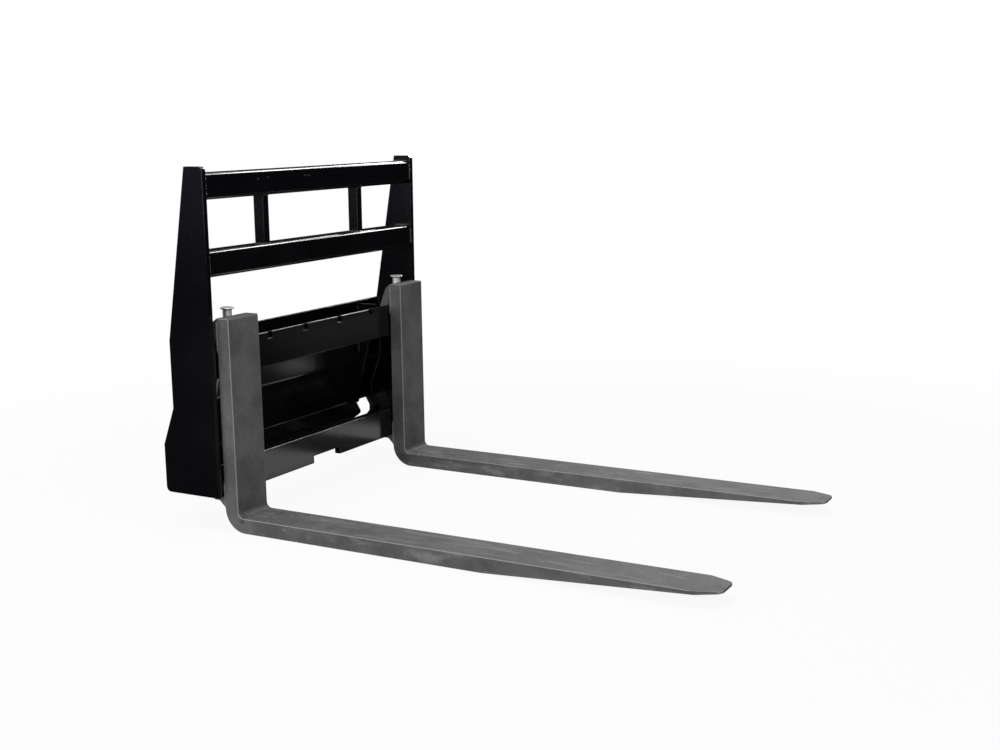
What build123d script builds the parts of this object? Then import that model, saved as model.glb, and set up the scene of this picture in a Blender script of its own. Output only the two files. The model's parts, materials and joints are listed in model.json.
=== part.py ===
"""Pallet fork attachment for a compact loader.

A welded carriage frame carries two forged L-shaped forks on two rails. Each fork hangs
from a hook over the upper rail, is kept in by a hook under the lower rail, and is locked
in a notch by a sprung pin. A folded quick-attach plate closes the frame behind.

Millimetres, +Z up, forks pointing along -Y. The origin is on the floor under the middle
of the object. Depths are measured backwards from the carriage face, which is the front
of both rails, and heights from the floor that the forks lie on.
"""

import os
from math import cos, radians, sin, tan

from build123d import *

# Carriage frame
frame_width = 812.0
ground_clearance = 76.0
carriage_height = 331.0
side_plate_thickness = 12.0
side_plate_height = 693.0
side_plate_proud = 2.0
side_plate_top_depth = 46.0
side_plate_nose_radius = 10.0
side_plate_heel_radius = 12.0

# Backrest
tube_size = 54.0
tube_wall = 4.8
tube_corner_radius = 8.0
tube_setback = 1.0
top_tube_drop = 13.5
middle_tube_rise = 136.0
bar_width = 19.0
bar_depth = 27.0
bar_setback = 11.0
bar_spacing = 364.6
bar_corner_radius = 1.5

# Fork rails
rail_thickness = 16.0
upper_rail_height = 76.0
lower_rail_height = 70.0
rail_hook_chamfer = 7.0
rail_edge_radius = 2.0
notch_width = 16.0
notch_depth = 15.0
notches_per_side = 3
cutout_width = 106.0
cutout_depth = 17.0

# Quick-attach plate at the back
coupler_thickness = 8.0
coupler_depth = 109.0
coupler_foot_depth = 139.5
coupler_top_rise = 4.0
coupler_flare_top = 186.0
coupler_flare_bottom = 105.0
coupler_foot_height = 72.0
coupler_bend_radius = 12.0
hook_lip_reach = 26.0
hook_lip_angle = 45.0
hook_lip_end_gap = 49.0
lower_lip_lean = 30.5
lower_lip_drop = 30.0
lower_lip_slope = 50.0
lower_lip_ledge = 32.0
lower_lip_bend_radius = 5.0
pin_opening_width = 58.0
pin_opening_end_gap = 18.0
pin_opening_flare = 30.0
pin_opening_strip = 8.5
rib_thickness = 10.0
rib_inset = 94.0
rib_top_width = 55.0
rib_top_drop = 2.0
rib_foot_width = 19.5

# Forks
fork_width = 102.0
fork_thickness = 34.0
fork_shank_top_thickness = 31.0
fork_rail_gap = 3.0
fork_end_gap = 8.0
blade_length = 1067.0
blade_thickness = 33.0
blade_taper_start = 588.0
blade_tip_thickness = 5.5
blade_tip_taper = 50.0
blade_tip_width = 60.0
blade_tip_shoulder_radius = 40.0
blade_tip_corner_radius = 16.0
heel_radius = 50.0
inner_heel_radius = 13.0
shank_rise = 52.0
shank_top_radius = 4.0
fork_edge_radius = 2.5

# Hooks welded to the back of each fork
hook_width = 98.0
upper_hook_pad = 22.0
upper_hook_lip_drop = 10.5
upper_hook_lip_thickness = 5.5
upper_hook_lip_flare = 1.0
upper_hook_chamfer_gap = 0.8
upper_hook_wall = 2.2
upper_hook_shoulder_rise = 22.0
upper_hook_crest_rise = 42.5
upper_hook_crest_setback = 1.5
upper_hook_crest_radius = 8.0
weld_groove_rise = 38.0
weld_groove_width = 7.5
weld_groove_depth = 8.0
lower_hook_pad = 34.0
lower_hook_floor = 9.0
lower_hook_gap = 1.0
lower_hook_lip_gap = 1.5
lower_hook_lip_thickness = 9.5
lower_hook_lip_height = 14.0

# Sprung lock in each upper hook
pin_radius = 5.95
pin_bore_clearance = 0.05
pin_engagement = 13.0
pin_tip_chamfer = 1.5
pin_shoulder_rise = 17.0
rod_radius = 3.0
rod_clearance = 0.1
bushing_shank_radius = 8.0
bushing_fit_clearance = 0.03
bushing_foot_rise = 2.0
bushing_seat_rise = 29.0
bushing_seat_width = 24.0
bushing_head_radius = 9.75
bushing_head_rise = 11.0
bushing_roof = 6.0
bushing_edge_chamfer = 0.8
spring_wire_radius = 0.7
spring_coil_radius = 4.9
spring_turns = 6.0
spring_end_clearance = 0.05
knob_radius = 15.5
knob_cone_height = 3.2
knob_rim_height = 1.8
knob_crown_height = 1.2
knob_crown_radius = 11.0
knob_gap = 0.3
knob_thread_depth = 4.0

# Levels and depths that follow from the sizes above
inner_half_width = frame_width / 2 - side_plate_thickness
rail_top = ground_clearance + carriage_height
frame_top = ground_clearance + side_plate_height
top_tube_height = frame_top - top_tube_drop - tube_size / 2
middle_tube_height = rail_top + middle_tube_rise + tube_size / 2
tube_depth = tube_setback + tube_size / 2
fork_centre = inner_half_width - fork_end_gap - fork_width / 2
notch_pitch = fork_centre / (notches_per_side - 0.5)
shank_back = -fork_rail_gap
shank_front = shank_back - fork_thickness
fork_tip = shank_front - blade_length
shank_top = rail_top + shank_rise
coupler_top = rail_top + coupler_top_rise
flare_top = ground_clearance + coupler_flare_top
flare_bottom = ground_clearance + coupler_flare_bottom
coupler_foot = ground_clearance + coupler_foot_height
pin_depth = rail_thickness / 2
pin_shoulder = rail_top + pin_shoulder_rise
bushing_seat = rail_top + bushing_seat_rise
bushing_top = shank_top + bushing_head_rise
spring_roof = bushing_top - bushing_roof
knob_foot = bushing_top + knob_gap

# The carriage face stands where the floor origin falls midway between tip and coupler foot
carriage_face = (-fork_tip - coupler_foot_depth) / 2

SIDES = (("left", -1), ("right", 1))


def side_plane(x):
    """Upright plane across the frame at x: local x is depth, local y is height."""
    return Plane(origin=(x, carriage_face, 0), x_dir=(0, 1, 0), z_dir=(1, 0, 0))


def front_plane(depth):
    """Upright plane parallel to the carriage face: local x is width, local y is height."""
    return Plane(origin=(0, carriage_face + depth, 0), x_dir=(1, 0, 0), z_dir=(0, -1, 0))


def level_plane(height):
    """Level plane: local x is width, local y is depth behind the carriage face."""
    return Plane(origin=(0, carriage_face, height), x_dir=(1, 0, 0), z_dir=(0, 0, 1))


def fork_plan_plane(sign, height):
    """Level plane over a fork: local x is width from its middle, local y is depth."""
    return Plane(origin=(sign * fork_centre, carriage_face, height),
                 x_dir=(1, 0, 0), z_dir=(0, 0, 1))


def lock_plane(sign):
    """Upright plane through a lock pin's axis: local x is radius, local y is height."""
    return Plane(origin=(sign * fork_centre, carriage_face + pin_depth, 0),
                 x_dir=(1, 0, 0), z_dir=(0, -1, 0))


def lock_axis(sign):
    """The line that a lock pin slides along."""
    return Axis((sign * fork_centre, carriage_face + pin_depth, 0), (0, 0, 1))


os.makedirs("parts", exist_ok=True)

# Side plates, flame-cut with a nose above and a flared foot behind
for side, sign in SIDES:
    with BuildPart() as side_plate:
        middle_of_plate = sign * (frame_width - side_plate_thickness) / 2
        with BuildSketch(side_plane(middle_of_plate)) as plate_outline:
            with BuildLine():
                Polyline(
                    (-side_plate_proud, ground_clearance),
                    (-side_plate_proud, frame_top),
                    (side_plate_top_depth, frame_top),
                    (coupler_depth, rail_top),
                    (coupler_depth, flare_top),
                    (coupler_foot_depth, flare_bottom),
                    (coupler_foot_depth, ground_clearance),
                    close=True,
                )
            make_face()
            top_front = plate_outline.vertices().group_by(Axis.Y)[-1].sort_by(Axis.X)[0]
            fillet(top_front, radius=side_plate_nose_radius)
            bottom_back = plate_outline.vertices().group_by(Axis.Y)[0].sort_by(Axis.X)[-1]
            fillet(bottom_back, radius=side_plate_heel_radius)
        extrude(amount=side_plate_thickness / 2, both=True)
    side_plate.part.label = f"side_plate_{side}"
    export_step(side_plate.part, f"parts/side_plate_{side}.step")

# Two square tubes between the side plates
for tube_name, tube_height in (("top_tube", top_tube_height), ("middle_tube", middle_tube_height)):
    with BuildPart() as tube:
        with BuildSketch(side_plane(0)):
            with Locations((tube_depth, tube_height)):
                RectangleRounded(tube_size, tube_size, tube_corner_radius)
                tube_bore = tube_size - 2 * tube_wall
                RectangleRounded(tube_bore, tube_bore, tube_corner_radius - tube_wall,
                                 mode=Mode.SUBTRACT)
        extrude(amount=inner_half_width, both=True)
    tube.part.label = tube_name
    export_step(tube.part, f"parts/{tube_name}.step")

# Upright backrest bars between the tubes
for side, sign in SIDES:
    with BuildPart() as bar:
        bar_foot = middle_tube_height + tube_size / 2
        with BuildSketch(level_plane(bar_foot)):
            with Locations((sign * bar_spacing / 2, bar_setback + bar_depth / 2)):
                RectangleRounded(bar_width, bar_depth, bar_corner_radius)
        extrude(amount=top_tube_height - middle_tube_height - tube_size)
    bar.part.label = f"backrest_bar_{side}"
    export_step(bar.part, f"parts/backrest_bar_{side}.step")

# Upper rail, chamfered behind for the fork hooks and notched for the lock pins
with BuildPart() as upper_rail:
    with BuildSketch(side_plane(0)) as rail_section:
        with Locations((0, rail_top)):
            Rectangle(rail_thickness, upper_rail_height, align=(Align.MIN, Align.MAX))
        top_back = rail_section.vertices().group_by(Axis.Y)[-1].sort_by(Axis.X)[-1]
        chamfer(top_back, length=rail_hook_chamfer)
        front_corners = rail_section.vertices().group_by(Axis.X)[0]
        fillet(front_corners, radius=rail_edge_radius)
    extrude(amount=inner_half_width, both=True)
    with BuildSketch(front_plane(0)):
        with Locations((0, rail_top)):
            with GridLocations(notch_pitch, 0, 2 * notches_per_side, 1):
                Rectangle(notch_width, 2 * notch_depth)
    extrude(amount=-rail_thickness, mode=Mode.SUBTRACT)
upper_rail.part.label = "upper_fork_rail"
export_step(upper_rail.part, "parts/upper_fork_rail.step")

# Lower rail, with the cut-out in its middle where the forks are put on
with BuildPart() as lower_rail:
    with BuildSketch(side_plane(0)) as rail_section:
        with Locations((0, ground_clearance)):
            Rectangle(rail_thickness, lower_rail_height, align=Align.MIN)
        front_corners = rail_section.vertices().group_by(Axis.X)[0]
        fillet(front_corners, radius=rail_edge_radius)
    extrude(amount=inner_half_width, both=True)
    with BuildSketch(front_plane(0)):
        with Locations((0, ground_clearance)):
            Rectangle(cutout_width, 2 * cutout_depth)
    extrude(amount=-rail_thickness, mode=Mode.SUBTRACT)
lower_rail.part.label = "lower_fork_rail"
export_step(lower_rail.part, "parts/lower_fork_rail.step")

# Folded quick-attach plate, flush with the back edges of the side plates
with BuildPart() as coupler_plate:
    with BuildSketch(side_plane(0)):
        with BuildLine():
            back_face = FilletPolyline(
                (coupler_depth, coupler_top),
                (coupler_depth, flare_top),
                (coupler_foot_depth, flare_bottom),
                (coupler_foot_depth, coupler_foot),
                radius=coupler_bend_radius,
            )
            offset(back_face, amount=coupler_thickness, side=Side.RIGHT)
        make_face()
    extrude(amount=inner_half_width, both=True)
coupler_plate.part.label = "coupler_plate"
export_step(coupler_plate.part, "parts/coupler_plate.step")

# Slanting lip along the top of the plate, which hooks over the loader's own plate
with BuildPart() as coupler_hook:
    with BuildSketch(side_plane(0)):
        hook_angle = radians(hook_lip_angle)
        lip_root = coupler_thickness / cos(hook_angle)
        lip_fall = hook_lip_reach * tan(hook_angle)
        with BuildLine():
            Polyline(
                (coupler_depth, coupler_top),
                (coupler_depth, coupler_top - lip_root),
                (coupler_depth + hook_lip_reach, coupler_top - lip_root - lip_fall),
                (coupler_depth + hook_lip_reach, coupler_top - lip_fall),
                close=True,
            )
        make_face()
    extrude(amount=inner_half_width - hook_lip_end_gap, both=True)
coupler_hook.part.label = "coupler_hook"
export_step(coupler_hook.part, "parts/coupler_hook.step")

# Folded lower lip under the plate, open near both ends for the loader's locking pins
lean = radians(lower_lip_lean)
slope = radians(lower_lip_slope)
lip_top_front = coupler_foot_depth - coupler_thickness / cos(lean)
fold_depth = lip_top_front - lower_lip_drop * tan(lean)
fold_height = coupler_foot - lower_lip_drop
lip_foot = fold_height - lower_lip_ledge * sin(slope)
with BuildPart() as lower_lip:
    with BuildSketch(side_plane(0)):
        with BuildLine():
            front_face = FilletPolyline(
                (lip_top_front + coupler_thickness * tan(lean), coupler_foot + coupler_thickness),
                (fold_depth, fold_height),
                (fold_depth + lower_lip_ledge * cos(slope), lip_foot),
                radius=lower_lip_bend_radius + coupler_thickness,
            )
            offset(front_face, amount=coupler_thickness, side=Side.LEFT)
        make_face()
    extrude(amount=inner_half_width, both=True)
    split(bisect_by=Plane.XY.offset(coupler_foot), keep=Keep.BOTTOM)
    opening_outside = inner_half_width - pin_opening_end_gap
    opening_inside = opening_outside - pin_opening_width
    with BuildSketch(front_plane(0)):
        with BuildLine():
            Polyline(
                (opening_inside, coupler_foot),
                (opening_outside, coupler_foot),
                (opening_outside, lip_foot + pin_opening_strip),
                (opening_inside - pin_opening_flare, lip_foot + pin_opening_strip),
                (opening_inside, fold_height),
                close=True,
            )
        make_face()
        mirror(about=Plane.YZ)
    extrude(amount=-coupler_foot_depth, mode=Mode.SUBTRACT)
lower_lip.part.label = "coupler_lower_lip"
export_step(lower_lip.part, "parts/coupler_lower_lip.step")

# Tapered ribs that stiffen the front of the plate
for side, sign in SIDES:
    with BuildPart() as rib:
        with BuildSketch(side_plane(sign * (inner_half_width - rib_inset))):
            half_sheet = coupler_thickness / 2
            plate_front = coupler_depth - coupler_thickness
            foot_front = coupler_foot_depth - coupler_thickness
            with BuildLine():
                Polyline(
                    (plate_front - rib_top_width, rail_top - rib_top_drop),
                    (coupler_depth - half_sheet, rail_top - rib_top_drop),
                    (coupler_depth - half_sheet, flare_top),
                    (coupler_foot_depth - half_sheet, flare_bottom),
                    (coupler_foot_depth - half_sheet, coupler_foot),
                    (foot_front - rib_foot_width, coupler_foot),
                    close=True,
                )
            make_face()
        extrude(amount=rib_thickness / 2, both=True)
        add(coupler_plate.part, mode=Mode.SUBTRACT)
    rib.part.label = f"coupler_rib_{side}"
    export_step(rib.part, f"parts/coupler_rib_{side}.step")

# Forks, each forged and bent from one bar, tapering to a rounded tip
for side, sign in SIDES:
    with BuildPart() as fork:
        with BuildSketch(side_plane(sign * fork_centre)) as fork_profile:
            with BuildLine():
                Polyline(
                    (shank_back, 0),
                    (shank_back, shank_top),
                    (shank_back - fork_shank_top_thickness, shank_top),
                    (shank_front, blade_thickness),
                    (fork_tip, blade_thickness),
                    (fork_tip, blade_thickness - blade_tip_thickness),
                    (shank_front - blade_taper_start, 0),
                    close=True,
                )
            make_face()
            heel = fork_profile.vertices().group_by(Axis.Y)[0].sort_by(Axis.X)[-1]
            fillet(heel, radius=heel_radius)
            inner_heel = fork_profile.vertices().sort_by_distance((shank_front, blade_thickness))[0]
            fillet(inner_heel, radius=inner_heel_radius)
            shank_nose = fork_profile.vertices().group_by(Axis.Y)[-1].sort_by(Axis.X)[0]
            fillet(shank_nose, radius=shank_top_radius)
        extrude(amount=fork_width / 2, both=True)
        behind_tip = carriage_face + fork_tip + fork_edge_radius
        long_edges = fork.faces().filter_by(Axis.X).edges().filter_by(
            lambda edge: edge.center().Y > behind_tip)
        fillet(long_edges, radius=fork_edge_radius)
        with BuildSketch(fork_plan_plane(sign, 0)) as fork_plan:
            with BuildLine():
                Polyline(
                    (-fork_width / 2, shank_back),
                    (-fork_width / 2, fork_tip + blade_tip_taper),
                    (-blade_tip_width / 2, fork_tip),
                    (blade_tip_width / 2, fork_tip),
                    (fork_width / 2, fork_tip + blade_tip_taper),
                    (fork_width / 2, shank_back),
                    close=True,
                )
            make_face()
            tip_shoulders = fork_plan.vertices().group_by(Axis.Y)[1]
            fillet(tip_shoulders, radius=blade_tip_shoulder_radius)
            tip_corners = fork_plan.vertices().group_by(Axis.Y)[0]
            fillet(tip_corners, radius=blade_tip_corner_radius)
        extrude(amount=shank_top, mode=Mode.INTERSECT)
    fork.part.label = f"fork_{side}"
    export_step(fork.part, f"parts/fork_{side}.step")

# Upper hooks, which carry each fork on the upper rail and house its lock
for side, sign in SIDES:
    with BuildPart() as upper_hook:
        with BuildSketch(side_plane(sign * fork_centre)) as hook_profile:
            lip_start = rail_thickness - rail_hook_chamfer + upper_hook_chamfer_gap
            lip_inside = lip_start + upper_hook_lip_drop
            lip_outside = lip_inside + upper_hook_lip_thickness
            shoulder_depth = pin_depth + bushing_shank_radius + upper_hook_wall
            crest = (pin_depth + upper_hook_crest_setback, rail_top + upper_hook_crest_rise)
            with BuildLine():
                Polyline(
                    (shank_back, rail_top - upper_hook_pad),
                    (0, rail_top - upper_hook_pad),
                    (0, rail_top),
                    (lip_start, rail_top),
                    (lip_inside, rail_top - upper_hook_lip_drop),
                    (lip_outside, rail_top - upper_hook_lip_drop),
                    (lip_outside + upper_hook_lip_flare, rail_top),
                    (shoulder_depth, rail_top + upper_hook_shoulder_rise),
                    crest,
                    (shank_back, shank_top),
                    close=True,
                )
            make_face()
            hook_crest = hook_profile.vertices().sort_by_distance(crest)[0]
            fillet(hook_crest, radius=upper_hook_crest_radius)
        extrude(amount=hook_width / 2, both=True)
        for edge_sign in (-1, 1):
            hook_side = sign * fork_centre + edge_sign * hook_width / 2
            with BuildSketch(side_plane(hook_side)):
                with BuildLine():
                    Polyline(
                        (shank_back, rail_top),
                        (shank_back + weld_groove_width, rail_top),
                        (shank_back, rail_top + weld_groove_rise),
                        close=True,
                    )
                make_face()
            extrude(amount=weld_groove_depth, both=True, mode=Mode.SUBTRACT)
        with BuildSketch(fork_plan_plane(sign, bushing_seat)):
            with Locations((0, shank_back)):
                Rectangle(bushing_seat_width, lip_outside - shank_back,
                          align=(Align.CENTER, Align.MIN))
        extrude(amount=shank_rise, mode=Mode.SUBTRACT)
        with BuildSketch(lock_plane(sign)):
            with Locations((0, bushing_seat)):
                Rectangle(bushing_shank_radius + bushing_fit_clearance, 2 * bushing_seat_rise,
                          align=(Align.MIN, Align.MAX))
        revolve(axis=lock_axis(sign), mode=Mode.SUBTRACT)
    upper_hook.part.label = f"upper_hook_{side}"
    export_step(upper_hook.part, f"parts/upper_hook_{side}.step")

# Lower hooks, which keep each fork in behind the lower rail
for side, sign in SIDES:
    with BuildPart() as lower_hook:
        with BuildSketch(side_plane(sign * fork_centre)):
            hook_floor_top = ground_clearance - lower_hook_gap
            hook_floor_bottom = hook_floor_top - lower_hook_floor
            keeper_front = rail_thickness + lower_hook_lip_gap
            keeper_back = keeper_front + lower_hook_lip_thickness
            with BuildLine():
                Polyline(
                    (shank_back, heel_radius),
                    (shank_back, ground_clearance + lower_hook_pad),
                    (0, ground_clearance + lower_hook_pad),
                    (0, hook_floor_top),
                    (keeper_front, hook_floor_top),
                    (keeper_front, ground_clearance + lower_hook_lip_height),
                    (keeper_back, ground_clearance + lower_hook_lip_height),
                    (keeper_back, hook_floor_bottom),
                    (hook_floor_bottom - heel_radius + shank_back, hook_floor_bottom),
                    close=True,
                )
            make_face()
        extrude(amount=hook_width / 2, both=True)
    lower_hook.part.label = f"lower_hook_{side}"
    export_step(lower_hook.part, f"parts/lower_hook_{side}.step")

# Bushings screwed into the upper hooks, closed above by a roof round the rod
for side, sign in SIDES:
    with BuildPart() as bushing:
        with BuildSketch(lock_plane(sign)):
            with BuildLine():
                Polyline(
                    (pin_radius + pin_bore_clearance, rail_top + bushing_foot_rise),
                    (bushing_shank_radius, rail_top + bushing_foot_rise),
                    (bushing_shank_radius, bushing_seat),
                    (bushing_head_radius, bushing_seat),
                    (bushing_head_radius, bushing_top - bushing_edge_chamfer),
                    (bushing_head_radius - bushing_edge_chamfer, bushing_top),
                    (rod_radius + rod_clearance, bushing_top),
                    (rod_radius + rod_clearance, spring_roof),
                    (pin_radius + pin_bore_clearance, spring_roof),
                    close=True,
                )
            make_face()
        revolve(axis=lock_axis(sign))
    bushing.part.label = f"lock_bushing_{side}"
    export_step(bushing.part, f"parts/lock_bushing_{side}.step")

# Lock pins, a thick tip for the notch under a thin rod for the spring and knob
for side, sign in SIDES:
    with BuildPart() as lock_pin:
        with BuildSketch(lock_plane(sign)):
            with BuildLine():
                Polyline(
                    (0, rail_top - pin_engagement),
                    (pin_radius - pin_tip_chamfer, rail_top - pin_engagement),
                    (pin_radius, rail_top - pin_engagement + pin_tip_chamfer),
                    (pin_radius, pin_shoulder),
                    (rod_radius, pin_shoulder),
                    (rod_radius, knob_foot + knob_thread_depth),
                    (0, knob_foot + knob_thread_depth),
                    close=True,
                )
            make_face()
        revolve(axis=lock_axis(sign))
    lock_pin.part.label = f"lock_pin_{side}"
    export_step(lock_pin.part, f"parts/lock_pin_{side}.step")

# Return springs between the pin's shoulder and the bushing's roof
for side, sign in SIDES:
    with BuildPart() as spring:
        spring_foot = pin_shoulder + spring_wire_radius + spring_end_clearance
        spring_height = spring_roof - pin_shoulder - 2 * (spring_wire_radius + spring_end_clearance)
        with BuildLine() as coil:
            Helix(
                pitch=spring_height / spring_turns,
                height=spring_height,
                radius=spring_coil_radius,
                center=(sign * fork_centre, carriage_face + pin_depth, spring_foot),
            )
        with BuildSketch(Plane(origin=coil.line @ 0, z_dir=coil.line % 0)):
            RegularPolygon(spring_wire_radius, 6)
        sweep(is_frenet=True)
    spring.part.label = f"lock_spring_{side}"
    export_step(spring.part, f"parts/lock_spring_{side}.step")

# Knobs screwed on the rods, a thin crowned disc on a cone
for side, sign in SIDES:
    with BuildPart() as knob:
        with BuildSketch(lock_plane(sign)):
            rim_foot = knob_foot + knob_cone_height
            rim_top = rim_foot + knob_rim_height
            thread_radius = rod_radius + bushing_fit_clearance
            with BuildLine():
                Polyline(
                    (0, knob_foot + knob_thread_depth),
                    (thread_radius, knob_foot + knob_thread_depth),
                    (thread_radius, knob_foot),
                    (bushing_head_radius, knob_foot),
                    (knob_radius, rim_foot),
                    (knob_radius, rim_top),
                    (knob_crown_radius, rim_top + knob_crown_height),
                    (0, rim_top + knob_crown_height),
                    close=True,
                )
            make_face()
        revolve(axis=lock_axis(sign))
    knob.part.label = f"lock_knob_{side}"
    export_step(knob.part, f"parts/lock_knob_{side}.step")
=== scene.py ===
"""Looks of a pallet fork attachment for a compact loader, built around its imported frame.

Metres, +Z up, forks pointing along -Y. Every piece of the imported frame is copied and
dressed with a finish, most of them with rounded edges, and weld beads are added where
the pieces of the carriage and of the forks are welded together.
"""

import json
import logging
import random
from collections.abc import Sequence
from dataclasses import dataclass, field
from enum import Enum
from functools import reduce
from math import cos, radians, sin, sqrt

import bmesh
import bpy
from mathutils import Matrix, Vector


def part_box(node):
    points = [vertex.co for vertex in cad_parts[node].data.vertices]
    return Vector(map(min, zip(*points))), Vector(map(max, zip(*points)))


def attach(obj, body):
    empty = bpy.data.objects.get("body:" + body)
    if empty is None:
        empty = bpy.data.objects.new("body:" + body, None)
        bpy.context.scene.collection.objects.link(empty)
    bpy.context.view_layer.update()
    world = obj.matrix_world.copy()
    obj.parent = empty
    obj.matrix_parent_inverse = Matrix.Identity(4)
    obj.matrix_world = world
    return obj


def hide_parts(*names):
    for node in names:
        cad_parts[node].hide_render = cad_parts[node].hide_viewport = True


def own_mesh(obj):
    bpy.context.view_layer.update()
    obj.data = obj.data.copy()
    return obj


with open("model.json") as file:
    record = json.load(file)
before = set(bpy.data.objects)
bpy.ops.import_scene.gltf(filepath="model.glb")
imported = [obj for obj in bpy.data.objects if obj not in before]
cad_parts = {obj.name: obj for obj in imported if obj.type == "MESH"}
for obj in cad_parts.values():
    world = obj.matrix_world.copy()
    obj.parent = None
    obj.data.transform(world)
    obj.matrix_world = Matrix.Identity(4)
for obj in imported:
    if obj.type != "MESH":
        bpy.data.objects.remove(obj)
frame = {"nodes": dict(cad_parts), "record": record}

LOG = logging.getLogger("pallet_forks")
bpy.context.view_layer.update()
SIDES = (("left", -1), ("right", 1))
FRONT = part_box("upper_fork_rail")[0].y


class Finish(Enum):
    """The finishes of this object, by the record's material slot."""

    FRAME_BLACK = "frame_black"
    FORK_GREY = "fork_grey"
    ZINC_PLATE = "zinc_plate"
    BARE_STEEL = "bare_steel"


class Socket:
    """One output of a shader node, with arithmetic that adds Math nodes."""

    def __init__(self, graph: "Graph", link: bpy.types.NodeSocket) -> None:
        """Keeps the socket and the graph that it belongs to.

        Args:
            graph: The graph that new nodes are added to.
            link: The Blender socket that this value comes from.
        """
        self.graph = graph
        self.link = link

    def _math(self, operation: str, *values: "Socket | float") -> "Socket":
        """Adds one Math node.

        Args:
            operation: The Math node's operation.
            values: Its inputs, in order.

        Returns:
            The node's result.
        """
        return self.graph.node("ShaderNodeMath", {"operation": operation}, dict(enumerate(values)))

    def __add__(self, other: "Socket | float") -> "Socket":
        """Returns the sum."""
        return self._math("ADD", self, other)

    def __radd__(self, other: float) -> "Socket":
        """Returns the sum with a number on the left."""
        return self._math("ADD", other, self)

    def __sub__(self, other: "Socket | float") -> "Socket":
        """Returns the difference."""
        return self._math("SUBTRACT", self, other)

    def __rsub__(self, other: float) -> "Socket":
        """Returns the difference with a number on the left."""
        return self._math("SUBTRACT", other, self)

    def __mul__(self, other: "Socket | float") -> "Socket":
        """Returns the product."""
        return self._math("MULTIPLY", self, other)

    def __rmul__(self, other: float) -> "Socket":
        """Returns the product with a number on the left."""
        return self._math("MULTIPLY", other, self)

    def __abs__(self) -> "Socket":
        """Returns the absolute value."""
        return self._math("ABSOLUTE", self)

    def at_most(self, other: "Socket | float") -> "Socket":
        """Returns the smaller of the two values."""
        return self._math("MINIMUM", self, other)

    def at_least(self, other: "Socket | float") -> "Socket":
        """Returns the larger of the two values."""
        return self._math("MAXIMUM", self, other)

    def ramp(self, low: float, high: float) -> "Socket":
        """Eases the value from 0 at low to 1 at high.

        Args:
            low: The value that gives 0.
            high: The value that gives 1, which may be the smaller one.

        Returns:
            The eased mask.
        """
        settings = {"interpolation_type": "SMOOTHSTEP", "clamp": True}
        if low < high:
            ends = {"Value": self, "From Min": low, "From Max": high}
            return self.graph.node("ShaderNodeMapRange", settings, ends)
        ends = {"Value": self, "From Min": high, "From Max": low, "To Min": 1.0, "To Max": 0.0}
        return self.graph.node("ShaderNodeMapRange", settings, ends)


class Graph:
    """The nodes of a material or a world, written as Python expressions."""

    def __init__(self, owner: bpy.types.Material | bpy.types.World) -> None:
        """Starts with no nodes.

        Args:
            owner: The new material or world that the nodes belong to.
        """
        self.owner = owner
        self.owner.use_nodes = True
        self.tree = self.owner.node_tree
        self.tree.nodes.clear()

    def node(self, kind: str, settings: dict | None = None, inputs: dict | None = None,
             output: int | str = 0) -> Socket:
        """Adds one node, its settings first and then its inputs.

        Args:
            kind: The node's type name.
            settings: Properties of the node by name.
            inputs: Values or sockets by input name or number.
            output: The output that is returned.

        Returns:
            The chosen output.
        """
        made = self.tree.nodes.new(kind)
        for name, value in (settings or {}).items():
            setattr(made, name, value)
        for key, value in (inputs or {}).items():
            if isinstance(value, Socket):
                self.tree.links.new(value.link, made.inputs[key])
            else:
                made.inputs[key].default_value = value
        return Socket(self, made.outputs[output])

    def place(self) -> Socket:
        """Returns the point's place in the row frame, in metres."""
        return self.node("ShaderNodeTexCoord", output="Object")

    def axes(self) -> tuple[Socket, Socket, Socket]:
        """Returns the x, y and z of the point's place."""
        return self.split(self.place())

    def split(self, vector: Socket) -> tuple[Socket, Socket, Socket]:
        """Takes a vector apart.

        Args:
            vector: The vector.

        Returns:
            Its x, y and z.
        """
        first = self.node("ShaderNodeSeparateXYZ", inputs={"Vector": vector}, output="X")
        outputs = first.link.node.outputs
        return first, Socket(self, outputs["Y"]), Socket(self, outputs["Z"])

    def noise(self, scale: float, detail: float = 2.0, stretch: Sequence[float] = (1.0, 1.0, 1.0),
              shift: float = 0.0) -> Socket:
        """Adds a noise pattern that is fixed to the object.

        Args:
            scale: Waves to the metre.
            detail: How many finer layers it has.
            stretch: How much the pattern is squeezed along each axis.
            shift: Moves the pattern, so that no two of them lie on each other.

        Returns:
            The noise, from 0 to 1.
        """
        placed = self.node("ShaderNodeMapping", inputs={
            "Vector": self.place(), "Scale": tuple(stretch), "Location": (shift, shift, shift)})
        return self.node("ShaderNodeTexNoise", inputs={
            "Vector": placed, "Scale": scale, "Detail": detail}, output="Fac")

    def mix(self, share: Socket | float, low: Socket | Sequence[float],
            high: Socket | Sequence[float]) -> Socket:
        """Mixes two colours.

        Args:
            share: How much of the second colour shows.
            low: The colour at share 0.
            high: The colour at share 1.

        Returns:
            The mixed colour.
        """
        colours = [value if isinstance(value, Socket) else (*value, 1.0) for value in (low, high)]
        return self.node("ShaderNodeMix", {"data_type": "RGBA"},
                         {"Factor": share, 6: colours[0], 7: colours[1]}, output=2)

    def bump(self, height: Socket, strength: float, depth: float) -> Socket:
        """Adds a bump.

        Args:
            height: The height pattern.
            strength: How strongly it shows, from 0 to 1.
            depth: The height of one unit, in metres.

        Returns:
            The bent normal.
        """
        return self.node("ShaderNodeBump", inputs={
            "Height": height, "Strength": strength, "Distance": depth}, output="Normal")

    def finish(self, shader: Socket, last: str = "ShaderNodeOutputMaterial") -> bpy.types.ID:
        """Ends the graph.

        Args:
            shader: The shader that covers the surface.
            last: The type name of the node that ends the graph.

        Returns:
            The finished material or world.
        """
        end = self.tree.nodes.new(last)
        self.tree.links.new(shader.link, end.inputs["Surface"])
        return self.owner


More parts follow.
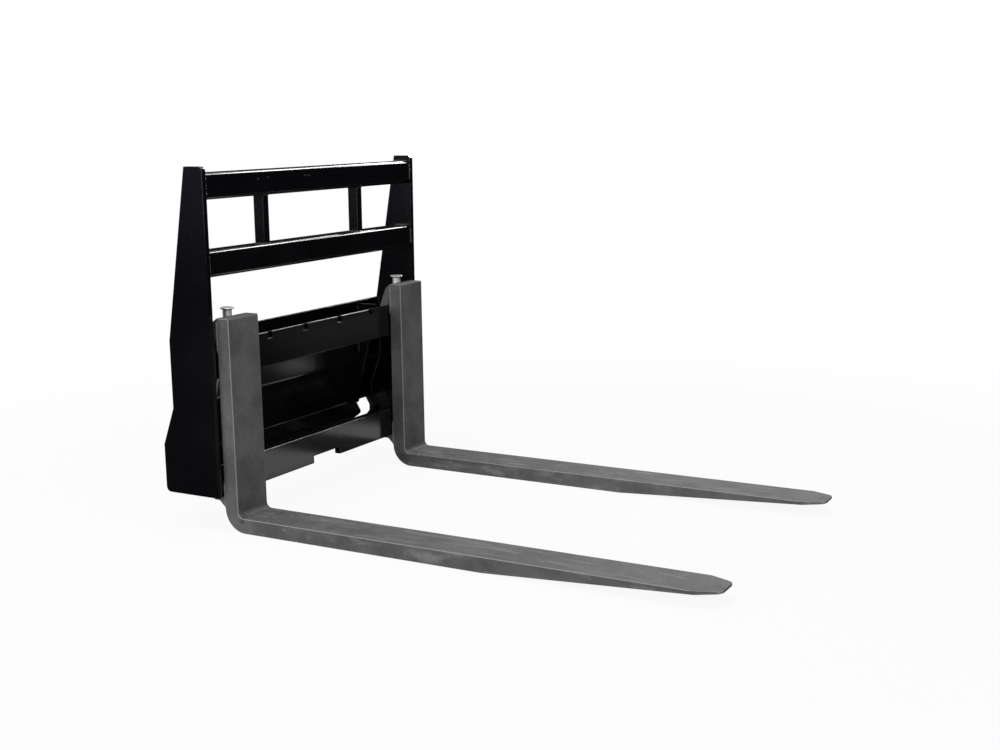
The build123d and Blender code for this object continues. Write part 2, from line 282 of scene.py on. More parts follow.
@dataclass(frozen=True)
class FramePaint:
    """Gloss black paint with a faint blue cast, sprayed over steel plate."""

    colour: tuple[float, float, float] = (0.0024, 0.0025, 0.0034)
    dust_colour: tuple[float, float, float] = (0.012, 0.012, 0.014)
    scuff_colour: tuple[float, float, float] = (0.16, 0.16, 0.16)
    roughness: float = 0.08
    cloud_roughness: float = 0.09
    speck_roughness: float = 0.2
    cloud_scale: float = 3.0
    cloud_band: tuple[float, float] = (0.45, 0.75)
    speck_scale: float = 420.0
    speck_band: tuple[float, float] = (0.72, 0.80)
    dust_share: float = 0.35
    peel_scale: float = 260.0
    peel_strength: float = 0.12
    peel_depth: float = 0.00022
    scuffs: tuple[tuple[float, float], ...] = (
        (-0.220, 0.7375), (-0.185, 0.7380), (-0.049, 0.7385), (-0.034, 0.7370),
        (0.012, 0.1450), (0.038, 0.1280), (0.051, 0.1180))
    scuff_size: tuple[float, float] = (0.007, 0.003)
    scratch_scale: float = 700.0
    scratch_stretch: tuple[float, float, float] = (0.35, 1.0, 1.4)
    scratch_band: tuple[float, float] = (0.50, 0.62)
    front_band: tuple[float, float] = (FRONT + 0.006, FRONT + 0.002)

    def build(self) -> bpy.types.Material:
        """Builds the paint.

        Returns:
            Its material.
        """
        graph = Graph(bpy.data.materials.new("frame_black"))
        cloud = graph.noise(self.cloud_scale, detail=3.0)
        specks = graph.noise(self.speck_scale, detail=1.0, shift=3.0).ramp(*self.speck_band)
        dust = cloud.ramp(*self.cloud_band) * self.dust_share + specks * self.dust_share
        colour = graph.mix(dust, self.colour, self.dust_colour)
        colour = graph.mix(self.scuff_mask(graph), colour, self.scuff_colour)
        peel = graph.noise(self.peel_scale)
        return graph.finish(graph.node("ShaderNodeBsdfPrincipled", inputs={
            "Base Color": colour,
            "Roughness": (self.roughness + cloud * self.cloud_roughness
                          + specks * self.speck_roughness),
            "Normal": graph.bump(peel, self.peel_strength, self.peel_depth),
        }))

    def scuff_mask(self, graph: Graph) -> Socket:
        """Finds where the paint is scuffed on the front of the top tube and the lower rail.

        Args:
            graph: The paint's graph.

        Returns:
            The mask, 1 where a scuff is deepest.
        """
        x, depth, height = graph.axes()
        wide, tall = self.scuff_size
        scratches = graph.noise(self.scratch_scale, stretch=self.scratch_stretch, shift=7.0)
        front = depth.ramp(*self.front_band)
        spots = [abs(x - across).ramp(wide, 0.0) * abs(height - up).ramp(tall, 0.0)
                 for across, up in self.scuffs]
        return reduce(Socket.at_least, spots) * front * scratches.ramp(*self.scratch_band)


@dataclass(frozen=True)
class ForkScale:
    """Dark grey scale of forged steel, mottled, stained and scraped, with its rounded edges painted
    lighter, partly as wear and partly as a painted highlight.
    """

    low: tuple[float, float, float] = (0.064, 0.064, 0.065)
    high: tuple[float, float, float] = (0.134, 0.134, 0.135)
    rubbed_and_edge_highlight: tuple[float, float, float] = (0.30, 0.30, 0.30)
    stain: tuple[float, float, float] = (0.045, 0.045, 0.046)
    specular: float = 0.20
    roughness: float = 0.70
    grain_gloss: float = 0.14
    stain_roughness: float = 0.12
    cloud_scale: float = 14.0
    cloud_band: tuple[float, float] = (0.32, 0.68)
    cloud_share: float = 0.55
    grain_scale: float = 150.0
    grain_share: float = 0.45
    streak_scale: float = 9.0
    streak_stretch: tuple[float, float, float] = (7.0, 1.0, 4.0)
    streak_band: tuple[float, float] = (0.50, 0.72)
    streak_share: float = 0.45
    fleck_scale: float = 60.0
    fleck_stretch: tuple[float, float, float] = (1.6, 1.0, 1.6)
    fleck_band: tuple[float, float] = (0.60, 0.72)
    fleck_share: float = 0.16
    fleck_heel_share: float = 0.35
    stain_scale: float = 24.0
    stain_band: tuple[float, float] = (0.58, 0.70)
    stain_share: float = 0.25
    stain_heel_share: float = 0.5
    blade_heights: tuple[float, float] = (0.045, 0.030)
    heel_depths: tuple[float, float] = (0.20, 0.40)
    tip_depths: tuple[float, float] = (-0.10, -0.62)
    tip_share: float = 0.12
    edge_turn: tuple[float, float] = (0.12, 0.30)
    side_turn: tuple[float, float] = (0.97, 0.80)
    edge_wear_and_highlight_share: float = 0.50
    edge_grain_share: float = 0.6
    cloud_relief: float = 0.5
    grain_relief: float = 0.35
    streak_relief: float = 0.3
    relief_strength: float = 0.30
    relief_depth: float = 0.0009

    def build(self) -> bpy.types.Material:
        """Builds the scale.

        Returns:
            Its material.
        """
        graph = Graph(bpy.data.materials.new("fork_grey"))
        _, depth, height = graph.axes()
        on_blade = height.ramp(*self.blade_heights)
        heel = depth.ramp(*self.heel_depths) * on_blade
        towards_tip = depth.ramp(*self.tip_depths) * on_blade
        cloud = graph.noise(self.cloud_scale, detail=5.0)
        grain = graph.noise(self.grain_scale, detail=4.0, shift=5.0)
        streaks = graph.noise(self.streak_scale, detail=4.0, stretch=self.streak_stretch,
                              shift=9.0)
        flecks = graph.noise(self.fleck_scale, detail=3.0, stretch=self.fleck_stretch,
                             shift=2.0).ramp(*self.fleck_band)
        stains = (graph.noise(self.stain_scale, detail=4.0, shift=12.0).ramp(*self.stain_band)
                  * (self.stain_share + heel * self.stain_heel_share))
        mottle = cloud.ramp(*self.cloud_band) * self.cloud_share + grain * self.grain_share
        scraped = streaks.ramp(*self.streak_band) * on_blade * self.streak_share
        light = (scraped + flecks * (self.fleck_share + heel * self.fleck_heel_share)
                 - towards_tip * self.tip_share).at_least(0.0)
        worn = graph.mix(light, graph.mix(mottle, self.low, self.high), self.rubbed_and_edge_highlight)
        worn = graph.mix(stains, worn, self.stain)
        # Painted highlight, partly also wear: the rounded edges are mixed towards the same light
        # colour as the scrapes.
        edge = self.edge_wear_and_highlight_mask(graph) * (self.edge_wear_and_highlight_share + grain * self.edge_grain_share)
        relief = (cloud * self.cloud_relief + grain * self.grain_relief
                  + streaks * on_blade * self.streak_relief)
        return graph.finish(graph.node("ShaderNodeBsdfPrincipled", inputs={
            "Base Color": graph.mix(edge.at_most(1.0), worn, self.rubbed_and_edge_highlight),
            "Specular IOR Level": self.specular,
            "Roughness": self.roughness - grain * self.grain_gloss + stains * self.stain_roughness,
            "Normal": graph.bump(relief, self.relief_strength, self.relief_depth),
        }))

    def edge_wear_and_highlight_mask(self, graph: Graph) -> Socket:
        """Finds the rounded edges between the top or front faces and the sides, which get a painted
        highlight as well as wear.

        Args:
            graph: The scale's graph.

        Returns:
            The mask, 1 where a face is turned partly to the side.
        """
        across, _, _ = graph.split(graph.node("ShaderNodeNewGeometry", output="True Normal"))
        turned = abs(across)
        return turned.ramp(*self.edge_turn) * turned.ramp(*self.side_turn)


@dataclass(frozen=True)
class ZincPlate:
    """Bright zinc plating, turned on a lathe and lightly stained."""

    colour: tuple[float, float, float] = (0.90, 0.91, 0.92)
    stain: tuple[float, float, float] = (0.55, 0.55, 0.54)
    stain_scale: float = 120.0
    stain_band: tuple[float, float] = (0.50, 0.75)
    stain_share: float = 0.6
    roughness: float = 0.32
    stain_roughness: float = 0.16
    turning_scale: float = 900.0
    turning_stretch: tuple[float, float, float] = (0.02, 0.02, 1.0)
    turning_strength: float = 0.10
    turning_depth: float = 0.0002

    def build(self) -> bpy.types.Material:
        """Builds the plating.

        Returns:
            Its material.
        """
        graph = Graph(bpy.data.materials.new("zinc_plate"))
        cloud = graph.noise(self.stain_scale, detail=4.0)
        stained = cloud.ramp(*self.stain_band) * self.stain_share
        turning = graph.noise(self.turning_scale, detail=1.0, stretch=self.turning_stretch,
                              shift=4.0)
        return graph.finish(graph.node("ShaderNodeBsdfPrincipled", inputs={
            "Base Color": graph.mix(stained, self.colour, self.stain),
            "Metallic": 1.0,
            "Roughness": self.roughness + cloud * self.stain_roughness,
            "Normal": graph.bump(turning, self.turning_strength, self.turning_depth),
        }))


@dataclass(frozen=True)
class BareSteel:
    """Plain oiled steel of the pins and springs."""

    colour: tuple[float, float, float] = (0.42, 0.42, 0.43)
    oiled: tuple[float, float, float] = (0.25, 0.25, 0.26)
    cloud_scale: float = 200.0
    roughness: float = 0.28
    cloud_roughness: float = 0.2

    def build(self) -> bpy.types.Material:
        """Builds the steel.

        Returns:
            Its material.
        """
        graph = Graph(bpy.data.materials.new("bare_steel"))
        cloud = graph.noise(self.cloud_scale, detail=3.0)
        return graph.finish(graph.node("ShaderNodeBsdfPrincipled", inputs={
            "Base Color": graph.mix(cloud, self.colour, self.oiled),
            "Metallic": 1.0,
            "Roughness": self.roughness + cloud * self.cloud_roughness,
        }))


class Shop:
    """Makes the pieces and keeps the one material of each finish."""

    merge_distance: float = 2e-6
    flat_angle: float = radians(0.6)
    bevel_angle: float = radians(28)
    crease_angle: float = radians(35)
    flat_face_weight: int = 90

    def __init__(self) -> None:
        """Builds every finish once."""
        self.materials = {
            Finish.FRAME_BLACK: FramePaint().build(),
            Finish.FORK_GREY: ForkScale().build(),
            Finish.ZINC_PLATE: ZincPlate().build(),
            Finish.BARE_STEEL: BareSteel().build(),
        }

    def finish_piece(self, name: str, mesh: bmesh.types.BMesh, finish: Finish, body: str,
                     stands_for: Sequence[str] = ()) -> bpy.types.Object:
        """Turns a bmesh into a dressed piece that rides on its body.

        Args:
            name: The piece's name.
            mesh: Its shape, in the row frame. It is freed.
            finish: The finish that covers it.
            body: The body that it moves with.
            stands_for: The nodes of the frame that it replaces.

        Returns:
            The piece.
        """
        data = bpy.data.meshes.new(name)
        mesh.to_mesh(data)
        mesh.free()
        data.materials.append(self.materials[finish])
        data.polygons.foreach_set("use_smooth", [True] * len(data.polygons))
        data.set_sharp_from_angle(angle=self.crease_angle)
        piece = bpy.data.objects.new(name, data)
        bpy.context.scene.collection.objects.link(piece)
        weighted = piece.modifiers.new("flat_faces", "WEIGHTED_NORMAL")
        weighted.keep_sharp = True
        weighted.weight = self.flat_face_weight
        if stands_for:
            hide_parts(*stands_for)
        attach(piece, body)
        LOG.info("%s: %d faces on %s", name, len(data.polygons), body)
        return piece

    def dressed_copy(self, node: str, finish: Finish, rounding: float = 0.0, segments: int = 2,
                     body: str = "carriage") -> bpy.types.Object:
        """Copies a node of the frame and rounds its sharp edges.

        Args:
            node: The node's name.
            finish: The finish that covers it.
            rounding: The width of the rounding, in metres, or 0 for none.
            segments: How many steps the rounding has.
            body: The body that it moves with.

        Returns:
            The piece that stands for the node.
        """
        shape = bmesh.new()
        shape.from_mesh(frame["nodes"][node].data)
        bmesh.ops.remove_doubles(shape, verts=shape.verts, dist=self.merge_distance)
        bmesh.ops.dissolve_limit(shape, angle_limit=self.flat_angle, verts=shape.verts,
                                 edges=shape.edges)
        if rounding > 0:
            sharp = [edge for edge in shape.edges
                     if edge.is_manifold and edge.calc_face_angle() > self.bevel_angle]
            bmesh.ops.bevel(shape, geom=sharp, offset=rounding, offset_type="OFFSET",
                            affect="EDGES", segments=segments, profile=0.5, material=-1,
                            clamp_overlap=True)
        return self.finish_piece(f"{node}_dressed", shape, finish, body, [node])


@dataclass
class WeldBead:
    """A rippled weld bead along a straight seam."""

    start: Vector
    end: Vector
    radius: float
    ripple: float = 0.0032
    steps: int = 4
    sides: int = 10
    swell_range: tuple[float, float] = (0.86, 1.08)
    valley: float = 0.80
    crest: float = 0.20
    tail_radius: float = 0.45
    tail_ripples: float = 1.5
    seed: int = 0

    def build(self, shape: bmesh.types.BMesh) -> None:
        """Adds the bead to a bmesh as one closed, rippled roll.

        Args:
            shape: The bmesh that it is added to.
        """
        run = self.end - self.start
        turn = run.normalized().to_track_quat("Z", "Y").to_matrix().to_4x4()
        ripples = max(2, round(run.length / self.ripple))
        draw = random.Random(self.seed)
        swell = [draw.uniform(*self.swell_range) for _ in range(ripples + 1)]
        count = ripples * self.steps
        last_centre, last_radius = self.start, self._radius(0, count, swell)
        made = bmesh.ops.create_circle(shape, cap_ends=True, segments=self.sides,
                                       radius=last_radius,
                                       matrix=Matrix.Translation(last_centre) @ turn)
        rim = list({edge for vert in made["verts"] for edge in vert.link_edges})
        for step in range(1, count + 1):
            grown = bmesh.ops.extrude_edge_only(shape, edges=rim)["geom"]
            verts = [item for item in grown if isinstance(item, bmesh.types.BMVert)]
            rim = [item for item in grown if isinstance(item, bmesh.types.BMEdge)
                   and all(vert in verts for vert in item.verts)]
            centre = self.start + run * (step / count)
            radius = self._radius(step, count, swell)
            move = (Matrix.Translation(centre) @ Matrix.Scale(radius / last_radius, 4)
                    @ Matrix.Translation(-last_centre))
            bmesh.ops.transform(shape, matrix=move, verts=verts)
            last_centre, last_radius = centre, radius
        bmesh.ops.contextual_create(shape, geom=rim)

    def _radius(self, step: int, count: int, swell: Sequence[float]) -> float:
        """Gives the bead's radius at one step.

        Args:
            step: The step along the bead.
            count: How many steps the bead has.
            swell: The size of each ripple.

        Returns:
            The radius, small at both ends and waving along the bead.
        """
        phase = (step % self.steps) / self.steps
        wave = self.valley + self.crest * sqrt(max(0.0, 1 - (2 * phase - 1) ** 2))
        from_end = min(step, count - step)
        tail = min(1.0, self.tail_radius + from_end / (self.tail_ripples * self.steps))
        return self.radius * wave * tail * swell[step // self.steps]


@dataclass
class Seams:
    """A group of beads that makes one piece."""

    name: str
    finish: Finish
    beads: list[WeldBead] = field(default_factory=list)

    def add(self, start: Sequence[float], end: Sequence[float], radius: float) -> None:
        """Adds one bead.

        Args:
            start: Where the bead starts, in metres.
            end: Where it ends.
            radius: Its radius.
        """
        seed = len(self.beads)
        self.beads.append(WeldBead(Vector(start), Vector(end), radius, seed=seed))

    def stitches(self, start: Sequence[float], end: Sequence[float], radius: float, stitch: float,
                 gap: float) -> None:
        """Adds short beads with gaps between them.

        Args:
            start: Where the seam starts, in metres.
            end: Where it ends.
            radius: The beads' radius.
            stitch: The length of one bead.
            gap: The space between two beads.
        """
        first, run = Vector(start), Vector(end) - Vector(start)
        way = run.normalized()
        count = max(1, int((run.length + gap) / (stitch + gap)))
        margin = (run.length - count * stitch - (count - 1) * gap) / 2
        for number in range(count):
            begin = first + way * (margin + number * (stitch + gap))
            self.add(begin, begin + way * stitch, radius)

    def build(self, shop: Shop) -> bpy.types.Object:
        """Builds the piece, which rides on the carriage.

        Args:
            shop: Makes and dresses the piece.

        Returns:
            The piece.
        """
        shape = bmesh.new()
        for bead in self.beads:
            bead.build(shape)
        bmesh.ops.recalc_face_normals(shape, faces=shape.faces)
        return shop.finish_piece(self.name, shape, self.finish, "carriage")


@dataclass
class Carriage:
    """Side plates, tubes, bars and rails, welded into one frame."""

    tubes: tuple[str, ...] = ("top_tube", "middle_tube")
    rails: tuple[str, ...] = ("upper_fork_rail", "lower_fork_rail")
    plate_edge: float = 0.0009
    upper_rail_edge: float = 0.0008
    lower_rail_edge: float = 0.0016
    bead: float = 0.0034
    small_bead: float = 0.0024
    tube_corner: float = 0.008
    rail_weld_foot: float = 0.002
    rail_weld_head: float = 0.008

    def build(self, shop: Shop) -> None:
        """Builds the frame and its welds.

        Args:
            shop: Makes and dresses the pieces.
        """
        for side, _ in SIDES:
            shop.dressed_copy(f"side_plate_{side}", Finish.FRAME_BLACK, self.plate_edge)
            shop.dressed_copy(f"backrest_bar_{side}", Finish.FRAME_BLACK)
        for tube in self.tubes:
            shop.dressed_copy(tube, Finish.FRAME_BLACK)
        shop.dressed_copy("upper_fork_rail", Finish.FRAME_BLACK, self.upper_rail_edge)
        shop.dressed_copy("lower_fork_rail", Finish.FRAME_BLACK, self.lower_rail_edge, segments=3)
        self.tube_welds().build(shop)
        self.bar_welds().build(shop)
        self.rail_welds().build(shop)

    def tube_welds(self) -> Seams:
        """Lays the beads round both ends of the tubes.

        Returns:
            The beads.
        """
        seams = Seams("tube_welds", Finish.FRAME_BLACK)
        inset = self.tube_corner
        for tube in self.tubes:
            low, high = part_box(tube)
            for end in (low.x, high.x):
                for depth in (low.y, high.y):
                    seams.add((end, depth, low.z + inset), (end, depth, high.z - inset), self.bead)
                for height in (low.z, high.z):
                    seams.add((end, low.y + inset, height), (end, high.y - inset, height), self.bead)
        return seams

    def bar_welds(self) -> Seams:
        """Lays the beads round both ends of the backrest bars.

        Returns:
            The beads.
        """
        seams = Seams("bar_welds", Finish.FRAME_BLACK)
        for side, _ in SIDES:
            low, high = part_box(f"backrest_bar_{side}")
            for height in (low.z, high.z):
                for depth in (low.y, high.y):
                    seams.add((low.x, depth, height), (high.x, depth, height), self.small_bead)
                for across in (low.x, high.x):
                    seams.add((across, low.y, height), (across, high.y, height), self.small_bead)
        return seams

    def rail_welds(self) -> Seams:
        """Lays the beads that hold the rails' ends to the side plates.

        Returns:
            The beads.
        """
        seams = Seams("rail_welds", Finish.FRAME_BLACK)
        for rail in self.rails:
            low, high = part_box(rail)
            foot, head = low.z + self.rail_weld_foot, high.z - self.rail_weld_head
            for end in (low.x, high.x):
                for depth in (low.y, high.y):
                    seams.add((end, depth, foot), (end, depth, head), self.bead)
                seams.add((end, low.y, low.z), (end, high.y, low.z), self.bead)
        return seams


@dataclass
class Coupler:
    """The folded quick-attach plate with its hook, lower lip and ribs."""

    sheet: float = 0.008
    sheet_edge: float = 0.0008
    flare_top: float = 0.262
    flare_bottom: float = 0.181
    bead: float = 0.0036
    lip_stitch: float = 0.050
    lip_pitch: float = 0.259
    lip_shift: float = -0.012
    lip_front: float = 0.0093
    lip_seam_reach: float = 0.310
    lip_seam_bead: float = 0.0022
    hook_root: float = 0.0125
    hook_stitch: float = 0.048
    hook_gap: float = 0.080
    rib_weld_foot: float = 0.27
    rib_stitch: float = 0.04
    rib_gap: float = 0.04
    end_weld_foot: float = 0.002
    end_weld_head: float = 0.004

    def build(self, shop: Shop) -> None:
        """Builds the plate's pieces and their welds.

        Args:
            shop: Makes and dresses the pieces.
        """
        for part in ("plate", "hook", "lower_lip", "rib_left", "rib_right"):
            shop.dressed_copy(f"coupler_{part}", Finish.FRAME_BLACK, self.sheet_edge)
        self.lip_welds().build(shop)
        self.hook_welds().build(shop)
        self.end_welds().build(shop)

    def lip_welds(self) -> Seams:
        """Lays the stitches between the plate and its lower lip, in front and behind.

        Returns:
            The beads, with the thin seam that runs between the stitches in front.
        """
        seams = Seams("lip_welds", Finish.FRAME_BLACK)
        _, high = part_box("coupler_lower_lip")
        front = high.y - self.lip_front
        for depth in (front, high.y):
            for number in (-1, 0, 1):
                middle = self.lip_shift + number * self.lip_pitch
                seams.add((middle - self.lip_stitch / 2, depth, high.z),
                          (middle + self.lip_stitch / 2, depth, high.z), self.bead)
        seams.add((-self.lip_seam_reach, front, high.z), (self.lip_seam_reach, front, high.z),
                  self.lip_seam_bead)
        return seams

    def hook_welds(self) -> Seams:
        """Lays the stitches under the hook and along the ribs.

        Returns:
            The beads.
        """
        seams = Seams("hook_welds", Finish.FRAME_BLACK)
        low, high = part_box("coupler_hook")
        root = high.z - self.hook_root
        seams.stitches((low.x, low.y, root), (high.x, low.y, root), self.bead, self.hook_stitch,
                       self.hook_gap)
        face = low.y - self.sheet
        for side, sign in SIDES:
            rib_low, rib_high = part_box(f"coupler_rib_{side}")
            inner = rib_high.x if sign < 0 else rib_low.x
            seams.stitches((inner, face, self.rib_weld_foot), (inner, face, rib_high.z), self.bead,
                           self.rib_stitch, self.rib_gap)
        return seams

    def end_welds(self) -> Seams:
        """Lays the beads in the corners between the plate and the side plates.

        Returns:
            The beads.
        """
        seams = Seams("coupler_end_welds", Finish.FRAME_BLACK)
        low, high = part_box("coupler_plate")
        hook_low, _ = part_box("coupler_hook")
        top_face, foot_face = hook_low.y - self.sheet, high.y - self.sheet
        foot, head = low.z + self.end_weld_foot, high.z - self.end_weld_head
        for end in (low.x, high.x):
            seams.add((end, top_face, self.flare_top), (end, top_face, head), self.bead)
            seams.add((end, foot_face, self.flare_bottom), (end, top_face, self.flare_top),
                      self.bead)
            seams.add((end, foot_face, foot), (end, foot_face, self.flare_bottom), self.bead)
        return seams


@dataclass
class Forks:
    """Forged forks with the hooks welded behind their shanks."""

    fork_edge: float = 0.0010
    hook_edge: float = 0.0016
    bead: float = 0.0028
    weld_foot: float = 0.004
    weld_head: float = 0.006

    def build(self, shop: Shop) -> None:
        """Builds both forks, their hooks and welds.

        Args:
            shop: Makes and dresses the pieces.
        """
        for side, _ in SIDES:
            hooks = (f"upper_hook_{side}", f"lower_hook_{side}")
            shop.dressed_copy(f"fork_{side}", Finish.FORK_GREY, self.fork_edge)
            for hook in hooks:
                shop.dressed_copy(hook, Finish.FORK_GREY, self.hook_edge, segments=3)
            self.hook_welds(side, hooks).build(shop)

    def hook_welds(self, side: str, hooks: Sequence[str]) -> Seams:
        """Lays the beads round three sides of a fork's hooks.

        Args:
            side: The fork's side.
            hooks: The names of its two hooks.

        Returns:
            The beads.
        """
        seams = Seams(f"hook_welds_{side}", Finish.FORK_GREY)
        for hook in hooks:
            low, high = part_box(hook)
            foot, head = low.z + self.weld_foot, high.z - self.weld_head
            for across in (low.x, high.x):
                seams.add((across, low.y, foot), (across, low.y, head), self.bead)
            seams.add((low.x, low.y, low.z), (high.x, low.y, low.z), self.bead)
        return seams


@dataclass
class Locks:
    """The sprung locks in the upper hooks."""

    knob_edge: float = 0.0006

    def build(self, shop: Shop) -> None:
        """Builds the knobs, bushings, pins and springs.

        Args:
            shop: Makes and dresses the pieces.
        """
        joints = frame["record"]["behaviour"]["joints"]
        travel = {joint["name"]: joint["range_m"][1] for joint in joints}
        for side, _ in SIDES:
            lock = f"{side}_lock"
            shop.dressed_copy(f"lock_knob_{side}", Finish.ZINC_PLATE, self.knob_edge, 3, lock)
            shop.dressed_copy(f"lock_bushing_{side}", Finish.ZINC_PLATE)
            shop.dressed_copy(f"lock_pin_{side}", Finish.BARE_STEEL, body=lock)
            spring = shop.dressed_copy(f"lock_spring_{side}", Finish.BARE_STEEL)
            low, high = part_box(f"lock_spring_{side}")
            keep = 1 - travel[f"{side}_lock_lift"] / (high.z - low.z)
            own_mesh(spring)


@dataclass(frozen=True)
class LightPool:
    """A soft-edged bright patch of the ground, as gloss paint sees it."""

    centre: tuple[float, float]
    reach: tuple[float, float]
    bearing: float = 0.0
    edge: float = 0.06
    strength: float = 1.0

    def mask(self, graph: Graph) -> Socket:
        """Finds how bright the patch is at a point.

        Args:
            graph: The material graph that reads it.

        Returns:
            The brightness, up to the patch's strength.
        """
        x, y, _ = graph.axes()
        turn = radians(self.bearing)
        east, north = x - self.centre[0], y - self.centre[1]
        offsets = (east * cos(turn) + north * sin(turn), north * cos(turn) - east * sin(turn))
        shares = [abs(offset).ramp(reach + self.edge, reach - self.edge)
                  for offset, reach in zip(offsets, self.reach)]
        return shares[0] * shares[1] * self.strength


@dataclass(frozen=True)
class WallCard:
    """A card that stands round the object, between two bearings from +X towards +Y."""

    name: str
    start: float
    end: float
    top: float
    colour: tuple[float, float, float] = (0.016, 0.016, 0.020)
    radius: float = 9.0
    steps: int = 12

    def shape(self) -> bmesh.types.BMesh:
        """Bends the card round the object.

        Returns:
            Its shape, standing on the floor.
        """
        card = bmesh.new()
        foot = Matrix.Rotation(radians(self.start), 4, "Z") @ Vector((self.radius, 0, 0))
        posts = [card.verts.new(foot + Vector((0, 0, height))) for height in (0.0, self.top)]
        rail = card.edges.new(posts)
        bmesh.ops.spin(card, geom=[*posts, rail], cent=(0, 0, 0), axis=(0, 0, 1),
                       angle=radians(self.end - self.start), steps=self.steps)
        return card


@dataclass(frozen=True)
class Softbox:
    """A rectangular soft lamp that hangs in one place and faces another."""

    name: str
    place: tuple[float, float, float]
    target: tuple[float, float, float]
    size: tuple[float, float]
    watts: float
    gloss_only: bool = False

    def hang(self) -> None:
        """Adds the lamp to the scene, hidden from the camera."""
        data = bpy.data.lights.new(self.name, "AREA")
        data.shape = "RECTANGLE"
        data.size, data.size_y = self.size
        data.energy = self.watts
        lamp = bpy.data.objects.new(self.name, data)
        lamp.location = self.place
        aim = Vector(self.target) - Vector(self.place)
        lamp.rotation_euler = aim.to_track_quat("-Z", "Y").to_euler()
        lamp.visible_camera = False
        lamp.visible_diffuse = not self.gloss_only
        bpy.context.scene.collection.objects.link(lamp)


@dataclass
class Studio:
    """White floor and surroundings, soft lamps, dark cards and the camera."""

    camera_place: tuple[float, float, float] = (-2.650658, -1.879206, 0.858681)
    yaw: float = 60.628238
    pitch: float = 12.516423
    roll: float = -0.624136
    focal_pixels: float = 1404.786
    centre_pixel: tuple[float, float] = (470.0, 430.0)
    frame_pixels: tuple[int, int] = (1000, 750)
    sensor: float = 36.0
    floor_size: float = 40.0
    floor_colour: tuple[float, float, float] = (0.80, 0.80, 0.80)
    floor_white: float = 0.92
    far_white: float = 0.08
    far_distances: tuple[float, float] = (1.0, 2.6)
    world_light: float = 0.40
    card_colour: tuple[float, float, float] = (0.02, 0.02, 0.022)
    card_lift: float = 0.002
    pool_light: float = 3.0
    pools: tuple[LightPool, ...] = (
        LightPool((0.18, -0.15), (0.48, 0.47)),
        LightPool((1.37, -0.42), (0.10, 0.030), bearing=-36.6, strength=3.0),
        LightPool((2.30, -1.00), (0.50, 0.20), edge=0.25, strength=0.20),
        LightPool((0.60, 1.90), (1.00, 0.80), edge=0.35, strength=0.45),
    )
    walls: tuple[WallCard, ...] = (
        WallCard("front_right_wall", -50.0, -6.0, 14.0),
        WallCard("right_wall", -6.0, 60.0, 4.6),
        WallCard("back_left_wall", 115.0, 170.0, 3.0, (0.085, 0.100, 0.135)),
    )
    lamps: tuple[Softbox, ...] = (
        Softbox("edge_softbox", (4.45, 0.55, 3.10), (0.0, 0.5, 0.5), (3.1, 0.6), 130.0, True),
        Softbox("corner_softbox", (4.20, -0.10, 4.00), (0.0, 0.5, 0.7), (1.5, 0.6), 70.0, True),
        Softbox("overhead_softbox", (-0.9, 0.1, 3.6), (0.0, 0.0, 0.2), (2.6, 2.6), 66.0),
        Softbox("left_fill", (-4.0, 1.5, 1.3), (0.0, 0.0, 0.2), (2.4, 2.0), 70.0),
    )

    def build(self) -> None:
        """Builds everything that isn't part of the object."""
        self.floor()
        self.ground_card()
        self.wall_cards()
        self.world()
        for lamp in self.lamps:
            lamp.hang()
        self.camera()
        bpy.context.scene.view_settings.view_transform = "Standard"

    def floor(self) -> None:
        """Lays the white floor, which shows as white and keeps a faint shadow."""
        graph = Graph(bpy.data.materials.new("studio_floor"))
        seen = self.seen_by(graph, "Is Camera Ray", "Is Glossy Ray", "Is Transmission Ray")
        distance = graph.node("ShaderNodeVectorMath", {"operation": "LENGTH"},
                              {0: graph.place()}, output="Value")
        whiteness = self.floor_white + distance.ramp(*self.far_distances) * self.far_white
        matte = graph.node("ShaderNodeBsdfDiffuse", inputs={"Color": (*self.floor_colour, 1.0)})
        white = graph.node("ShaderNodeEmission", inputs={"Strength": 1.0})
        material = graph.finish(graph.node("ShaderNodeMixShader", inputs={
            0: seen * whiteness, 1: matte, 2: white}))
        self.stage_piece("studio_floor", self.ground(0.0), material)

    def ground_card(self) -> None:
        """Lays a dark card with light pools on the floor, which only gloss reflects."""
        graph = Graph(bpy.data.materials.new("ground_card"))
        first, *others = [pool.mask(graph) for pool in self.pools]
        bright = sum(others, first)
        dark = graph.node("ShaderNodeBsdfDiffuse", inputs={"Color": (*self.card_colour, 1.0)})
        glow = graph.node("ShaderNodeEmission", inputs={"Strength": self.pool_light})
        material = graph.finish(graph.node("ShaderNodeMixShader", inputs={
            0: bright * (1.0 / self.pool_light), 1: dark, 2: glow}))
        self.stage_piece("ground_card", self.ground(self.card_lift), material, gloss_only=True)

    def wall_cards(self) -> None:
        """Stands the wall cards round the object, which only gloss reflects."""
        for wall in self.walls:
            graph = Graph(bpy.data.materials.new(wall.name))
            material = graph.finish(graph.node("ShaderNodeEmission", inputs={
                "Color": (*wall.colour, 1.0)}))
            self.stage_piece(wall.name, wall.shape(), material, gloss_only=True)

    def ground(self, height: float) -> bmesh.types.BMesh:
        """Makes a level sheet as large as the floor.

        Args:
            height: How high it lies.

        Returns:
            The sheet.
        """
        sheet = bmesh.new()
        bmesh.ops.create_grid(sheet, x_segments=1, y_segments=1, size=self.floor_size)
        bmesh.ops.translate(sheet, verts=sheet.verts, vec=(0.0, 0.0, height))
        return sheet

    @staticmethod
    def seen_by(graph: Graph, *rays: str) -> Socket:
        """Tells by which kind of ray a surface is seen.

        Args:
            graph: The graph that asks.
            rays: The names of the Light Path outputs that count.

        Returns:
            The mask, 1 for those rays and 0 for others.
        """
        outputs = graph.node("ShaderNodeLightPath").link.node.outputs
        return reduce(Socket.at_least, [Socket(graph, outputs[ray]) for ray in rays])

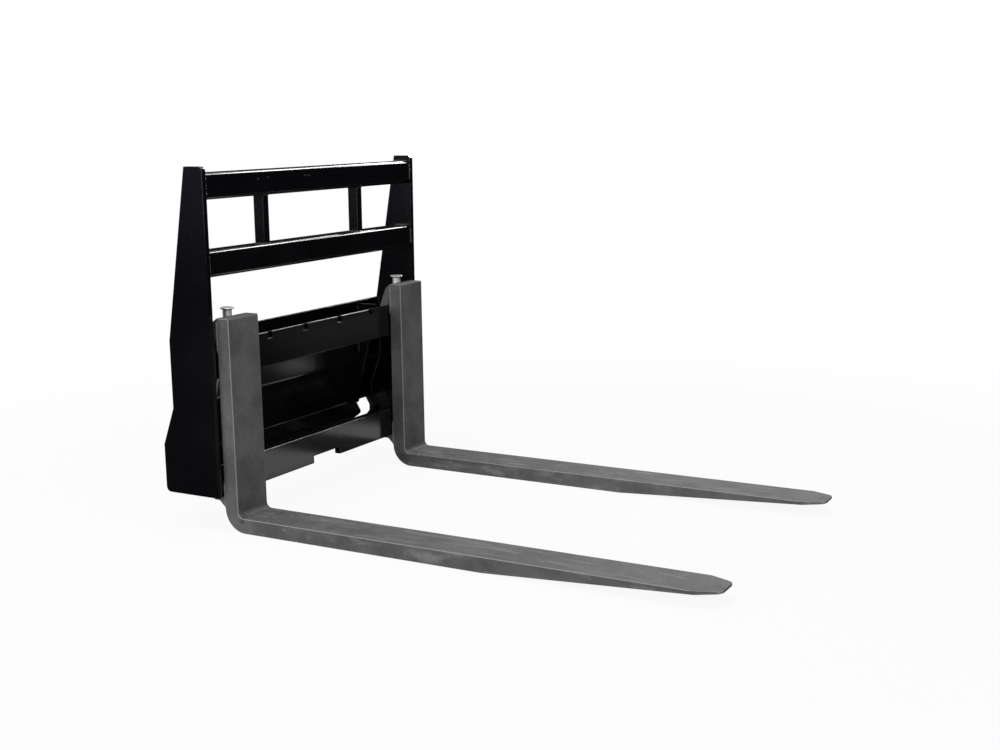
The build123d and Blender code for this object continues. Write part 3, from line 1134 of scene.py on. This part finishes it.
    @staticmethod
    def stage_piece(name: str, shape: bmesh.types.BMesh, material: bpy.types.Material,
                    gloss_only: bool = False) -> None:
        """Adds a piece of the studio.

        Args:
            name: Its name.
            shape: Its shape. It is freed.
            material: What covers it.
            gloss_only: Whether only reflections see it.
        """
        data = bpy.data.meshes.new(name)
        shape.to_mesh(data)
        shape.free()
        data.materials.append(material)
        piece = bpy.data.objects.new(name, data)
        bpy.context.scene.collection.objects.link(piece)
        if gloss_only:
            piece.visible_camera = False
            piece.visible_diffuse = False
            piece.visible_shadow = False
            piece.visible_transmission = False

    def world(self) -> None:
        """Makes the white surroundings, dimmer for soft light than for the eye."""
        graph = Graph(bpy.data.worlds.new("studio"))
        seen = self.seen_by(graph, "Is Camera Ray", "Is Glossy Ray")
        strength = graph.node("ShaderNodeMapRange", inputs={
            "Value": seen, "To Min": self.world_light, "To Max": 1.0})
        background = graph.node("ShaderNodeBackground", inputs={
            "Color": (1.0, 1.0, 1.0, 1.0), "Strength": strength})
        bpy.context.scene.world = graph.finish(background, "ShaderNodeOutputWorld")

    def camera(self) -> None:
        """Places the camera at the photograph's view."""
        yaw, pitch, roll = (radians(angle) for angle in (self.yaw, self.pitch, self.roll))
        ahead = Vector((sin(yaw) * cos(pitch), cos(yaw) * cos(pitch), -sin(pitch)))
        level = Vector((cos(yaw), -sin(yaw), 0.0))
        upward = level.cross(ahead)
        right = cos(roll) * level + sin(roll) * upward
        above = cos(roll) * upward - sin(roll) * level
        data = bpy.data.cameras.new("photo_camera")
        width, height = self.frame_pixels
        data.sensor_width = self.sensor
        data.lens = self.focal_pixels * self.sensor / width
        data.shift_x = (width / 2 - self.centre_pixel[0]) / width
        data.shift_y = (self.centre_pixel[1] - height / 2) / width
        camera = bpy.data.objects.new("photo_camera", data)
        turn = Matrix((right, above, -ahead)).transposed().to_4x4()
        place = Vector(self.camera_place) + Vector((0.0, FRONT, 0.0))
        camera.matrix_world = Matrix.Translation(place) @ turn
        bpy.context.scene.collection.objects.link(camera)
        bpy.context.scene.camera = camera


def main() -> None:
    """Builds the dressed object and its studio."""
    logging.basicConfig(level=logging.INFO, format="%(name)s: %(message)s")
    shop = Shop()
    for assembly in (Carriage(), Coupler(), Forks(), Locks()):
        assembly.build(shop)
    Studio().build()


if __name__ == "__main__":
    main()
